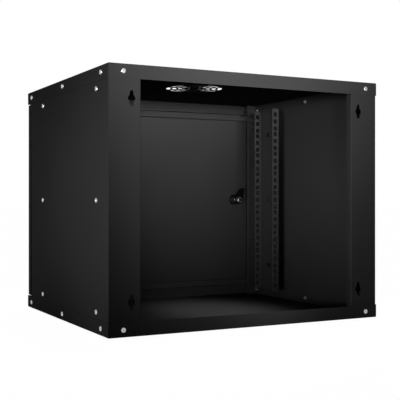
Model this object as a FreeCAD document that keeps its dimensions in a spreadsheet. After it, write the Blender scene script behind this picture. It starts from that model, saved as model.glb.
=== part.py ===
"""Nine-unit wall mount network cabinet, 19-inch, with a solid steel door and an open wall side.

Frame: +Z up, the door faces -Y, the open side that hangs on the wall faces +Y.
The origin is the middle of the underside of the bottom cover.  All sizes are millimetres.
Left and right are as seen by someone who stands in front of the door.
"""
import FreeCAD, Part
import Sketcher
import math
import os

V = FreeCAD.Vector
doc = FreeCAD.newDocument("wall_cabinet")

# ---------------------------------------------------------------- driving dimensions
SIZES = [
    ("cabinet_width", 570, "outer width of the covers"),
    ("cabinet_depth", 480, "outer depth of the covers"),
    ("rack_units", 9, "height of the 19-inch grid in units"),
    ("unit_pitch", 44.45, "height of one rack unit"),
    ("head_room", 32.975, "from the grid's end to the outside of a cover"),
    ("sheet_gauge", 1.2, "covers, side panels and door"),
    ("frame_gauge", 1.5, "posts and channels"),
    ("rail_gauge", 1.8, "19-inch rails"),
    ("fit_gap", 0.1, "sheet laid against sheet, and sheet end beyond a bend"),
    ("bend_outside", 2.0, "outer bend radius"),
    ("bend_inside", 0.8, "inner bend radius"),
    ("cover_flange", 25, "height of a cover's flanges"),
    ("cover_lip", 20, "return lip behind a cover's front flange"),
    ("corner_seam", 0.5, "slit between two flanges at a cover's corner"),
    ("cover_screw_rise", 13, "cover screw to the cover's outer face"),
    ("side_screw_inset", 32, "first side screw of a cover to its front or rear"),
    ("rear_screw_inset", 27.5, "rear screw of a cover to its side"),
    ("vent_rings", 4, "rings of slots in the fan vent"),
    ("vent_sectors", 8, "slots in each ring"),
    ("vent_inner", 12.6, "inner radius of the smallest ring"),
    ("vent_pitch", 12.4, "from one ring to the next"),
    ("vent_slot", 8.7, "width of a slot"),
    ("vent_spoke", 5, "width of a spoke between two slots"),
    ("fan_pitch", 105, "fan screw to fan screw"),
    ("fan_hole", 4.5, "fan screw hole"),
    ("front_flange", 27, "side panel's inward flange behind the door"),
    ("front_setback", 23, "from the cabinet's front to that flange"),
    ("post_face", 58, "rear face of a post"),
    ("post_leg", 68, "leg of a post along the side panel"),
    ("post_return", 15, "inward fold at the rear opening"),
    ("post_screw_back", 57, "screws of the side panel into the post"),
    ("panel_screw_rise", 194.5, "outer side panel screws above and below the middle"),
    ("keyhole_inset", 43.5, "keyhole to the cabinet's side"),
    ("keyhole_rise", 174.5, "keyholes above and below the middle"),
    ("keyhole_bore", 14, "hole that a wall screw's head passes"),
    ("keyhole_slot", 7, "width of the slots above and below it"),
    ("keyhole_length", 28, "end to end of the slots"),
    ("channel_back", 370, "channel screws to the rear of the cabinet"),
    ("channel_base", 40, "channel flange on the side panel"),
    ("channel_top", 38, "channel flange on the rail"),
    ("channel_overrun", 3, "channel beyond the rail at each end"),
    ("rail_opening", 450, "between the two rails"),
    ("hole_columns", 465.1, "between the two columns of square holes"),
    ("rail_flange", 17.5, "width of a rail's flanges"),
    ("rail_front_back", 368, "front face of the rail to the rear of the cabinet"),
    ("rail_depth", 78, "front to rear over a rail's flanges"),
    ("rail_overrun", 7, "rail beyond the grid at each end"),
    ("square_hole", 9.5, "cage nut hole"),
    ("hole_first", 6.35, "first hole above the start of a unit"),
    ("hole_step", 15.875, "wide step between holes of a unit"),
    ("rail_bolt_rise", 150, "rail bolts above and below the middle"),
    ("door_inset", 1, "door edge to the cabinet's side"),
    ("door_gap", 1.5, "door edge to a cover's flange"),
    ("door_thick", 20.5, "front face of the door to the rear of its folds"),
    ("door_return", 13, "inward fold round the door's rear"),
    ("hinge_inset", 8, "hinge axis to the cabinet's side"),
    ("hinge_back", 10, "hinge axis behind the door's face"),
    ("hinge_pin", 6, "hinge pin diameter"),
    ("running_gap", 0.05, "radial clearance of a pin that turns"),
    ("pin_head", 10, "rivet head of the lower pin"),
    ("pin_head_height", 2, "height of that head"),
    ("pin_reach", 4, "pins beyond a cover's lip"),
    ("washer_width", 11, "nylon washer under the door and stop ring of the upper pin"),
    ("washer_gap", 0.1, "free play of the door on its washer"),
    ("ring_height", 1.2, "stop ring of the upper pin"),
    ("guide_drop", 28, "guide of the upper pin below the door's top fold"),
    ("guide_width", 16, "width of that guide"),
    ("guide_offset", 3, "middle of the guide from the pin, away from the door's edge"),
    ("guide_leg", 12, "leg of the guide on the door's skin"),
    ("guide_depth", 16, "guide from the door's skin towards the rear"),
    ("handle_drop", 14, "handle of the upper pin below its guide"),
    ("handle_bend", 7, "bend radius from the pin to its handle"),
    ("handle_length", 24, "handle from the pin's axis"),
    ("spring_wire", 1.0, "wire diameter"),
    ("spring_gap", 0.6, "radial clearance of the spring round its pin"),
    ("spring_width", "=hinge_pin + 2 * (spring_gap + spring_wire)", "outer diameter of the spring"),
    ("spring_turns", 6, "turns of the spring"),
    ("spring_runs", 16, "short runs that make one turn"),
    ("lock_inset", 54, "lock axis to the cabinet's side"),
    ("lock_bore", 19, "hole for the lock in the door"),
    ("lock_body", 18.8, "barrel of the lock"),
    ("lock_bezel", 23, "rim of the lock on the door's face"),
    ("lock_length", 18, "barrel behind the door's face"),
    ("lock_nut_width", 24, "lock nut across flats"),
    ("lock_nut_height", 4, "lock nut"),
    ("lock_plug", 13, "turning part of the lock"),
    ("plug_sunk", 0.4, "plug behind the rim's face"),
    ("key_slot_width", 2, "key slot"),
    ("key_slot_length", 8, "key slot end to end"),
    ("key_slot_depth", 4, "key slot"),
    ("stud_width", 8, "threaded end of the plug"),
    ("stud_past_nut", 1.5, "threaded end beyond the cam nut"),
    ("cam_nut_width", 13, "cam nut across flats"),
    ("cam_nut_height", 5, "cam nut"),
    ("cam_reach", 31, "lock axis to the tip of the cam"),
    ("cam_gauge", 2.4, "thickness of the cam"),
    ("cam_hub", 21, "round end of the cam"),
    ("cam_tip", 13, "width of the cam at its tip"),
    ("cam_square", 8, "square drive of the cam"),
    ("cam_lean", 24, "cam at rest from upright, towards the door's edge"),
    ("cam_clearance", 1.2, "cam to the flange that it hooks behind"),
    ("thread_gap", 0.02, "nut thread to screw"),
    ("screw_shank", 5, "case screws"),
    ("screw_head", 8.6, "their pan heads"),
    ("head_height", 2.5, "head height of case screws and rim height of the lock"),
    ("screw_length", 9, "under the head"),
    ("screw_hole", 5.4, "clearance hole of a case screw"),
    ("nut_width", 8, "case nuts across flats"),
    ("nut_height", 4, "case nuts"),
    ("bolt_head", 10, "low heads of the rail bolts"),
    ("bolt_head_height", 1.8, "height of those heads"),
    ("rim_cut", 0.8, "slanted rim of the lock and tip of the lower hinge pin"),
    ("cut_margin", 1, "how far outside a piece its cuts start"),
]
sheet = doc.addObject("Spreadsheet::Sheet", "Sizes")
for row, (alias, number, use) in enumerate(SIZES, start=1):
    sheet.set(f"A{row}", alias)
    sheet.set(f"B{row}", str(number))
    sheet.set(f"C{row}", use)
    sheet.setAlias(f"B{row}", alias)
doc.recompute()
size = {alias: float(sheet.get(alias)) for alias, number, use in SIZES}

# Lengths that follow from the driving ones, once as sheet expressions and once as numbers.
HALF_WIDTH = "Sizes.cabinet_width / 2"
HALF_DEPTH = "Sizes.cabinet_depth / 2"
HEIGHT = "(Sizes.rack_units * Sizes.unit_pitch + 2 * Sizes.head_room)"
MIDDLE = f"{HEIGHT} / 2"
SETBACK = "(Sizes.sheet_gauge + Sizes.fit_gap)"
PANEL_OUTSIDE = f"({HALF_WIDTH} - {SETBACK})"
PANEL_INSIDE = f"({PANEL_OUTSIDE} - Sizes.sheet_gauge)"
END_LEVEL = "(Sizes.sheet_gauge + Sizes.bend_inside + Sizes.fit_gap)"
PANEL_HEIGHT = f"({HEIGHT} - 2 * {END_LEVEL})"
FLANGE_FRONT = f"(Sizes.front_setback - {HALF_DEPTH})"
RAIL_LENGTH = "(Sizes.rack_units * Sizes.unit_pitch + 2 * Sizes.rail_overrun)"
RAIL_FRONT = f"({HALF_DEPTH} - Sizes.rail_front_back)"
RAIL_EDGE = "Sizes.rail_opening / 2"
RAIL_WEB = f"({RAIL_EDGE} + Sizes.rail_flange)"
DOOR_HEIGHT = f"({HEIGHT} - 2 * Sizes.cover_flange - 2 * Sizes.door_gap)"
DOOR_BOTTOM = "(Sizes.cover_flange + Sizes.door_gap)"
DOOR_EDGE = f"({HALF_WIDTH} - Sizes.door_inset)"
HINGE_X = f"({HALF_WIDTH} - Sizes.hinge_inset)"

half_width = size["cabinet_width"] / 2
half_depth = size["cabinet_depth"] / 2
height = size["rack_units"] * size["unit_pitch"] + 2 * size["head_room"]
setback = size["sheet_gauge"] + size["fit_gap"]
panel_outside = half_width - setback
end_level = size["sheet_gauge"] + size["bend_inside"] + size["fit_gap"]
panel_height = height - 2 * end_level
panel_inside = panel_outside - size["sheet_gauge"]
post_outside = panel_inside
post_rear = half_depth - setback
flange_front = size["front_setback"] - half_depth
rail_web = size["rail_opening"] / 2 + size["rail_flange"]
channel_y = half_depth - size["channel_back"]
leg_y = channel_y + size["channel_base"] / 2
door_front = -half_depth
door_bottom = size["cover_flange"] + size["door_gap"]
door_top = height - door_bottom
hinge_x = half_width - size["hinge_inset"]
hinge_y = size["hinge_back"] - half_depth
guide_top = door_top - size["guide_drop"]

# ---------------------------------------------------------------- drawing helpers


def new_body(label):
    """An empty body that will hold one piece."""
    body = doc.addObject("PartDesign::Body", label)
    body.Label = label
    return body


def sketch_on(body, role, offset="0"):
    """A sketch on one of the body's own planes, moved along the plane's normal."""
    plane = [feature for feature in body.Origin.OriginFeatures if feature.Role == role][0]
    sketch = body.newObject("Sketcher::SketchObject", body.Name + "_sketch")
    sketch.AttachmentSupport = [(plane, "")]
    sketch.MapMode = "FlatFace"
    sketch.setExpression("AttachmentOffset.Base.z", offset)
    return sketch


def pin_point(sketch, edge, end, across, along):
    """Hold one point of a sketch edge at a place given by two sheet expressions."""
    point = sketch.getPoint(edge, end)
    for kind, place, expression in (("DistanceX", point.x, across), ("DistanceY", point.y, along)):
        index = sketch.addConstraint(Sketcher.Constraint(kind, -1, 1, edge, end, place))
        sketch.setExpression(f"Constraints[{index}]", expression)


START_RADIUS = 50
FULL_TURN = 360


def outline(sketch, points):
    """A closed polygon whose corners are pairs of sheet expressions; it starts as a regular one."""
    first = sketch.GeometryCount
    count = len(points)
    turn = 2 * math.pi / count
    ring = [V(START_RADIUS * math.cos(turn * k), START_RADIUS * math.sin(turn * k), 0) for k in range(count)]
    for k in range(count):
        sketch.addGeometry(Part.LineSegment(ring[k], ring[(k + 1) % count]), False)
    for k in range(count):
        after = first + (k + 1) % count
        sketch.addConstraint(Sketcher.Constraint("Coincident", first + k, 2, after, 1))
    for k, (across, along) in enumerate(points):
        pin_point(sketch, first + k, 1, across, along)


def rectangle(sketch, left, right, low, high):
    """A rectangle between four sheet expressions."""
    outline(sketch, [(left, low), (right, low), (right, high), (left, high)])


def circle(sketch, across, along, diameter):
    """A circle about a place given by sheet expressions."""
    edge = sketch.addGeometry(Part.Circle(V(0, 0, 0), V(0, 0, 1), START_RADIUS), False)
    pin_point(sketch, edge, 3, across, along)
    index = sketch.addConstraint(Sketcher.Constraint("Diameter", edge, 2 * START_RADIUS))
    sketch.setExpression(f"Constraints[{index}]", diameter)


def pad(body, sketch, length, reverse=False):
    """Grow the sketch along its normal, or against it."""
    feature = body.newObject("PartDesign::Pad", body.Name + "_pad")
    feature.Profile = sketch
    feature.Reversed = reverse
    feature.setExpression("Length", length)
    sketch.Visibility = False
    doc.recompute()
    return feature


def pocket(body, sketch, length=None, reverse=False):
    """Cut the sketch against its normal, or along it, through everything unless a length is given."""
    before = body.Shape.Volume
    feature = body.newObject("PartDesign::Pocket", body.Name + "_pocket")
    feature.Profile = sketch
    feature.Reversed = reverse
    if length is None:
        feature.Type = "ThroughAll"
    else:
        feature.setExpression("Length", length)
    sketch.Visibility = False
    doc.recompute()
    if not body.Shape.Volume < before:
        raise RuntimeError(f"{feature.Name} cuts nothing")
    return feature


def straight_edges(shape, **places):
    """Names of the straight edges whose two ends both lie at the coordinates given."""
    names = []
    for number, edge in enumerate(shape.Edges, start=1):
        if edge.Curve.TypeId != "Part::GeomLine":
            continue
        ends = [vertex.Point for vertex in edge.Vertexes]
        if all(abs(getattr(end, axis) - place) < 0.001 for end in ends for axis, place in places.items()):
            names.append(f"Edge{number}")
    return names


def bend(body, feature, places, radius):
    """Round the edges at the given places, as the folding of a sheet does."""
    names = []
    for place in places:
        names += straight_edges(feature.Shape, **place)
    fillet = body.newObject("PartDesign::Fillet", body.Name + "_bend")
    fillet.Base = (feature, names)
    fillet.setExpression("Radius", radius)
    doc.recompute()
    return fillet


def mirrored(source, label):
    """The same piece for the other side of the cabinet."""
    twin = doc.addObject("Part::Mirroring", label)
    twin.Label = label
    twin.Source = source
    twin.Base = V(0, 0, 0)
    twin.Normal = V(1, 0, 0)
    doc.recompute()
    return twin


def group(label, shape, places):
    """Several copies of one small piece, each put at its own place."""
    copies = []
    for placement in places:
        copy = shape.copy()
        copy.Placement = placement
        copies.append(copy)
    feature = doc.addObject("Part::Feature", label)
    feature.Label = label
    feature.Shape = Part.makeCompound(copies)
    return feature


def facing(x, y, z, direction):
    """A placement that turns a piece built along +Z to look along the direction."""
    return FreeCAD.Placement(V(x, y, z), FreeCAD.Rotation(V(0, 0, 1), V(*direction)))


def place_on_hinge(piece, level):
    """Put a piece built about its own Z axis on the hinge axis."""
    piece.setExpression("Placement.Base.x", HINGE_X)
    piece.setExpression("Placement.Base.y", f"Sizes.hinge_back - {HALF_DEPTH}")
    piece.setExpression("Placement.Base.z", level)


def place_on_lock(piece, along, lean=0):
    """Turn a piece built along +Z to look rearwards, and put it on the lock axis."""
    rearwards = FreeCAD.Rotation(V(-1, 0, 0), V(0, 0, 1), V(0, 1, 0), "ZYX")
    piece.Placement = FreeCAD.Placement(V(0, 0, 0), FreeCAD.Rotation(V(0, -1, 0), lean).multiply(rearwards))
    piece.setExpression("Placement.Base.x", f"Sizes.lock_inset - {HALF_WIDTH}")
    piece.setExpression("Placement.Base.y", along)
    piece.setExpression("Placement.Base.z", MIDDLE)


# ---------------------------------------------------------------- covers


def vent_slot_outline(sketch, ring):
    """One slot between two spokes: two arcs about the vent's centre, joined by lines along the spokes."""
    sector = 2 * math.pi / size["vent_sectors"]
    half_spoke = size["vent_spoke"] / 2
    inner = size["vent_inner"] + ring * size["vent_pitch"]
    outer = inner + size["vent_slot"]
    inner_expression = f"Sizes.vent_inner + {ring} * Sizes.vent_pitch"
    radii = [(inner, inner_expression), (outer, inner_expression + " + Sizes.vent_slot")]
    arcs = []
    for radius, expression in radii:
        start = math.asin(half_spoke / radius)
        arc = Part.ArcOfCircle(Part.Circle(V(0, 0, 0), V(0, 0, 1), radius), start, sector - start)
        edge = sketch.addGeometry(arc, False)
        sketch.addConstraint(Sketcher.Constraint("Coincident", edge, 3, -1, 1))
        index = sketch.addConstraint(Sketcher.Constraint("Radius", edge, radius))
        sketch.setExpression(f"Constraints[{index}]", expression)
        arcs.append(edge)
    for end in (1, 2):
        ends = []
        for edge in arcs:
            index = sketch.addConstraint(Sketcher.Constraint("Distance", edge, end, end - 1, half_spoke))
            sketch.setExpression(f"Constraints[{index}]", "Sizes.vent_spoke / 2")
            ends.append(sketch.getPoint(edge, end))
        side = sketch.addGeometry(Part.LineSegment(ends[0], ends[1]), False)
        sketch.addConstraint(Sketcher.Constraint("Coincident", side, 1, arcs[0], end))
        sketch.addConstraint(Sketcher.Constraint("Coincident", side, 2, arcs[1], end))


def cut_fan_vent(cover):
    """Rings of curved slots over the fan, with the fan's four screw holes round them."""
    sector = 2 * math.pi / size["vent_sectors"]
    reach = size["vent_inner"] + size["vent_rings"] * size["vent_pitch"]
    slots = sketch_on(cover, "XY_Plane")
    # The two spokes' middle lines guide the slots and stay out of the cut.
    for number in (0, 1):
        tip = V(reach * math.cos(sector * number), reach * math.sin(sector * number), 0)
        spoke = slots.addGeometry(Part.LineSegment(V(0, 0, 0), tip), True)
        slots.addConstraint(Sketcher.Constraint("Coincident", spoke, 1, -1, 1))
        slots.addConstraint(Sketcher.Constraint("Distance", spoke, reach))
        index = slots.addConstraint(Sketcher.Constraint("Angle", -1, 1, spoke, 1, sector * number))
        slots.setExpression(f"Constraints[{index}]", f"{number} * 360 deg / Sizes.vent_sectors")
    for ring in range(int(size["vent_rings"])):
        vent_slot_outline(slots, ring)
    first = pocket(cover, slots)
    pattern = cover.newObject("PartDesign::PolarPattern", "vent_pattern")
    pattern.Originals = [first]
    pattern.Axis = (slots, ["N_Axis"])
    pattern.Angle = FULL_TURN
    pattern.setExpression("Occurrences", "Sizes.vent_sectors")
    cover.Tip = pattern
    doc.recompute()
    screws = sketch_on(cover, "XY_Plane")
    for across in ("-Sizes.fan_pitch / 2", "Sizes.fan_pitch / 2"):
        for along in ("-Sizes.fan_pitch / 2", "Sizes.fan_pitch / 2"):
            circle(screws, across, along, "Sizes.fan_hole")
    return pocket(cover, screws)


def make_cover(label, up):
    """A pressed pan: a plate with four flanges, and a lip behind the front flange that holds the hinge.

    up is 1 for the top cover, whose flanges hang down, and -1 for the bottom cover.
    The plate's outer face lies on the body's own XY plane.
    """
    inward = -up
    cover = new_body(label)
    blank = sketch_on(cover, "XY_Plane")
    rectangle(blank, f"-{HALF_WIDTH}", HALF_WIDTH, f"-{HALF_DEPTH}", HALF_DEPTH)
    pad(cover, blank, "Sizes.cover_flange", reverse=up > 0)
    hollow = sketch_on(cover, "XY_Plane", f"{inward} * Sizes.sheet_gauge")
    side = f"({HALF_WIDTH} - Sizes.sheet_gauge)"
    end = f"({HALF_DEPTH} - Sizes.sheet_gauge)"
    rectangle(hollow, f"-{side}", side, f"-{end}", end)
    walls = pocket(cover, hollow, reverse=up < 0)

    # Four folds: the plate's outer and inner edges.
    x = half_width
    y = half_depth
    gauge = size["sheet_gauge"]
    outer = [dict(z=0, x=x), dict(z=0, x=-x), dict(z=0, y=y), dict(z=0, y=-y)]
    folded = bend(cover, walls, outer, "Sizes.bend_outside")
    level = inward * gauge
    inner = [dict(z=level, x=x - gauge), dict(z=level, x=gauge - x)]
    inner += [dict(z=level, y=y - gauge), dict(z=level, y=gauge - y)]
    bend(cover, folded, inner, "Sizes.bend_inside")

    # The front flange folds back into a lip; the hinge pins turn in its two end holes.
    lip = sketch_on(cover, "XY_Plane", f"{inward} * (Sizes.cover_flange - Sizes.sheet_gauge)")
    rectangle(lip, f"-{side}", side, f"-{end}", f"Sizes.cover_lip - {HALF_DEPTH}")
    pad(cover, lip, "Sizes.sheet_gauge", reverse=up > 0)
    hinge = sketch_on(cover, "XY_Plane", f"{inward} * Sizes.cover_flange / 2")
    for across in (HINGE_X, f"-{HINGE_X}"):
        circle(hinge, across, f"Sizes.hinge_back - {HALF_DEPTH}", "Sizes.hinge_pin + 2 * Sizes.running_gap")
    pocket(cover, hinge, reverse=up < 0)

    # A slit at each corner, where the flanges meet but aren't joined.
    seams = sketch_on(cover, "XY_Plane", f"{inward} * (Sizes.bend_outside + Sizes.sheet_gauge)")
    for across in (1, -1):
        inside = f"{across} * {side}"
        past = f"{inside} - {across} * Sizes.corner_seam"
        rectangle(seams, inside, past, end, f"{HALF_DEPTH} + Sizes.cut_margin")
    pocket(cover, seams, reverse=up < 0)

    # Screw holes through both side flanges and through the rear flange.
    rise = f"{inward} * Sizes.cover_screw_rise"
    sides = sketch_on(cover, "YZ_Plane", f"{HALF_WIDTH} + Sizes.cut_margin")
    side_inset = f"({HALF_DEPTH} - Sizes.side_screw_inset)"
    for along in (f"-{side_inset}", "0", side_inset):
        circle(sides, along, rise, "Sizes.screw_hole")
    pocket(cover, sides)
    rear = sketch_on(cover, "XZ_Plane", f"-({HALF_DEPTH} - Sizes.cover_flange)")
    for across in (1, -1):
        circle(rear, f"{across} * ({HALF_WIDTH} - Sizes.rear_screw_inset)", rise, "Sizes.screw_hole")
    pocket(cover, rear)
    if up > 0:
        cut_fan_vent(cover)
        cover.setExpression("Placement.Base.z", HEIGHT)
    return cover


# ---------------------------------------------------------------- side panels and posts


def make_side_panel():
    """The right side: one sheet, folded inwards behind the door so that the cam can hook on it."""
    panel = new_body("right_side_panel")
    profile = sketch_on(panel, "XY_Plane")
    rear = f"({HALF_DEPTH} - {SETBACK})"
    edge = f"({PANEL_OUTSIDE} - Sizes.front_flange)"
    behind = f"({FLANGE_FRONT} + Sizes.sheet_gauge)"
    outline(profile, [
        (PANEL_OUTSIDE, rear), (PANEL_OUTSIDE, FLANGE_FRONT), (edge, FLANGE_FRONT),
        (edge, behind), (PANEL_INSIDE, behind), (PANEL_INSIDE, rear)])
    sheet_metal = pad(panel, profile, PANEL_HEIGHT)
    outside = [dict(x=panel_outside, y=flange_front)]
    folded = bend(panel, sheet_metal, outside, "Sizes.bend_outside")
    inside = [dict(x=panel_inside, y=flange_front + size["sheet_gauge"])]
    bend(panel, folded, inside, "Sizes.bend_inside")

    holes = sketch_on(panel, "YZ_Plane", f"{HALF_WIDTH} + Sizes.cut_margin")
    cover_rise = f"(Sizes.cover_screw_rise - {END_LEVEL})"
    side_inset = f"({HALF_DEPTH} - Sizes.side_screw_inset)"
    for level in (cover_rise, f"({PANEL_HEIGHT} - {cover_rise})"):
        for along in (f"-{side_inset}", "0", side_inset):
            circle(holes, along, level, "Sizes.screw_hole")
    for back in ("Sizes.post_screw_back", "Sizes.channel_back"):
        for step in (-1, 0, 1):
            level = f"{PANEL_HEIGHT} / 2 + {step} * Sizes.panel_screw_rise"
            circle(holes, f"{HALF_DEPTH} - {back}", level, "Sizes.screw_hole")
    pocket(panel, holes)
    panel.setExpression("Placement.Base.z", END_LEVEL)
    return panel


def keyhole_slot(sketch, step):
    """The upright slot of a keyhole: two half circles joined by straight sides."""
    across = f"({HALF_WIDTH} - Sizes.keyhole_inset)"
    level = f"({PANEL_HEIGHT} / 2 + {step} * Sizes.keyhole_rise)"
    radius = size["keyhole_slot"] / 2
    half = size["keyhole_length"] / 2 - radius
    x = half_width - size["keyhole_inset"]
    z = panel_height / 2 + step * size["keyhole_rise"]
    up = V(0, 0, 1)
    crown = Part.ArcOfCircle(Part.Circle(V(x, z + half, 0), up, radius), 0, math.pi)
    base = Part.ArcOfCircle(Part.Circle(V(x, z - half, 0), up, radius), math.pi, 2 * math.pi)
    top = sketch.addGeometry(crown, False)
    foot = sketch.addGeometry(base, False)
    left_side = Part.LineSegment(V(x - radius, z + half, 0), V(x - radius, z - half, 0))
    right_side = Part.LineSegment(V(x + radius, z - half, 0), V(x + radius, z + half, 0))
    left = sketch.addGeometry(left_side, False)
    right = sketch.addGeometry(right_side, False)
    for before, after in ((top, left), (left, foot), (foot, right), (right, top)):
        sketch.addConstraint(Sketcher.Constraint("Tangent", before, 2, after, 1))
    sketch.addConstraint(Sketcher.Constraint("Vertical", left))
    index = sketch.addConstraint(Sketcher.Constraint("Radius", top, radius))
    sketch.setExpression(f"Constraints[{index}]", "Sizes.keyhole_slot / 2")
    reach = "(Sizes.keyhole_length - Sizes.keyhole_slot) / 2"
    pin_point(sketch, top, 3, across, f"{level} + {reach}")
    index = sketch.addConstraint(Sketcher.Constraint("DistanceY", foot, 3, top, 3, 2 * half))
    sketch.setExpression(f"Constraints[{index}]", f"2 * {reach}")


def make_rear_post():
    """The right rear upright: a channel with the two keyholes, folded inwards at the opening."""
    post = new_body("right_rear_post")
    outside = PANEL_INSIDE
    rear = f"({HALF_DEPTH} - {SETBACK})"
    edge = f"({outside} - Sizes.post_face)"
    front = f"({rear} - Sizes.post_leg)"
    fold = f"({rear} - Sizes.post_return)"
    gauge = "Sizes.frame_gauge"
    profile = sketch_on(post, "XY_Plane")
    outline(profile, [
        (outside, front), (outside, rear), (edge, rear), (edge, fold),
        (f"{edge} + {gauge}", fold), (f"{edge} + {gauge}", f"{rear} - {gauge}"),
        (f"{outside} - {gauge}", f"{rear} - {gauge}"), (f"{outside} - {gauge}", front)])
    channel = pad(post, profile, PANEL_HEIGHT)
    edge_x = post_outside - size["post_face"]
    thick = size["frame_gauge"]
    bends = [dict(x=post_outside, y=post_rear), dict(x=edge_x, y=post_rear)]
    folded = bend(post, channel, bends, "Sizes.bend_outside")
    bends = [dict(x=post_outside - thick, y=post_rear - thick), dict(x=edge_x + thick, y=post_rear - thick)]
    bend(post, folded, bends, "Sizes.bend_inside")

    behind = f"-({HALF_DEPTH} - Sizes.post_return + Sizes.cut_margin)"
    levels = [f"{PANEL_HEIGHT} / 2 + {step} * Sizes.keyhole_rise" for step in (-1, 1)]
    bores = sketch_on(post, "XZ_Plane", behind)
    for level in levels:
        circle(bores, f"{HALF_WIDTH} - Sizes.keyhole_inset", level, "Sizes.keyhole_bore")
    pocket(post, bores)
    slots = sketch_on(post, "XZ_Plane", behind)
    for step in (-1, 1):
        keyhole_slot(slots, step)
    pocket(post, slots)
    screws = sketch_on(post, "XZ_Plane", behind)
    rise = f"(Sizes.cover_screw_rise - {END_LEVEL})"
    for level in (rise, f"({PANEL_HEIGHT} - {rise})"):
        circle(screws, f"{HALF_WIDTH} - Sizes.rear_screw_inset", level, "Sizes.screw_hole")
    pocket(post, screws)
    side = sketch_on(post, "YZ_Plane", f"{HALF_WIDTH} + Sizes.cut_margin")
    for level in (rise, f"({PANEL_HEIGHT} - {rise})"):
        circle(side, f"{HALF_DEPTH} - Sizes.side_screw_inset", level, "Sizes.screw_hole")
    for step in (-1, 0, 1):
        level = f"{PANEL_HEIGHT} / 2 + {step} * Sizes.panel_screw_rise"
        circle(side, f"{HALF_DEPTH} - Sizes.post_screw_back", level, "Sizes.screw_hole")
    reach = f"Sizes.frame_gauge + {SETBACK} + Sizes.sheet_gauge + Sizes.bend_outside + Sizes.cut_margin"
    pocket(post, side, reach)
    post.setExpression("Placement.Base.z", END_LEVEL)
    return post


# ---------------------------------------------------------------- rails


def make_channel():
    """The right rail channel: a Z section that stands the rail off the side panel."""
    channel = new_body("right_rail_channel")
    gauge = "Sizes.frame_gauge"
    foot = PANEL_INSIDE
    leg = f"({HALF_DEPTH} - Sizes.channel_back + Sizes.channel_base / 2)"
    front = f"({leg} - Sizes.channel_base)"
    rear = f"({leg} + Sizes.channel_top - {gauge})"
    profile = sketch_on(channel, "XY_Plane")
    outline(profile, [
        (foot, front), (foot, leg), (f"{RAIL_WEB} + {gauge}", leg), (f"{RAIL_WEB} + {gauge}", rear),
        (RAIL_WEB, rear), (RAIL_WEB, f"{leg} - {gauge}"),
        (f"{foot} - {gauge}", f"{leg} - {gauge}"), (f"{foot} - {gauge}", front)])
    length = f"({RAIL_LENGTH} + 2 * Sizes.channel_overrun)"
    section = pad(channel, profile, length)
    thick = size["frame_gauge"]
    outer = [dict(x=panel_inside, y=leg_y), dict(x=rail_web, y=leg_y - thick)]
    folded = bend(channel, section, outer, "Sizes.bend_outside")
    inner = [dict(x=panel_inside - thick, y=leg_y - thick), dict(x=rail_web + thick, y=leg_y)]
    bend(channel, folded, inner, "Sizes.bend_inside")

    screws = sketch_on(channel, "YZ_Plane", f"{HALF_WIDTH} + Sizes.cut_margin")
    for step in (-1, 0, 1):
        level = f"{length} / 2 + {step} * Sizes.panel_screw_rise"
        circle(screws, f"{HALF_DEPTH} - Sizes.channel_back", level, "Sizes.screw_hole")
    pocket(channel, screws)
    bolts = sketch_on(channel, "YZ_Plane", f"{HALF_WIDTH} + Sizes.cut_margin")
    for step in (-1, 0, 1):
        level = f"{length} / 2 + {step} * Sizes.rail_bolt_rise"
        circle(bolts, f"{leg} + Sizes.channel_top / 2", level, "Sizes.screw_hole")
    pocket(channel, bolts)
    channel.setExpression("Placement.Base.z", f"({HEIGHT} - {length}) / 2")
    return channel


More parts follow.
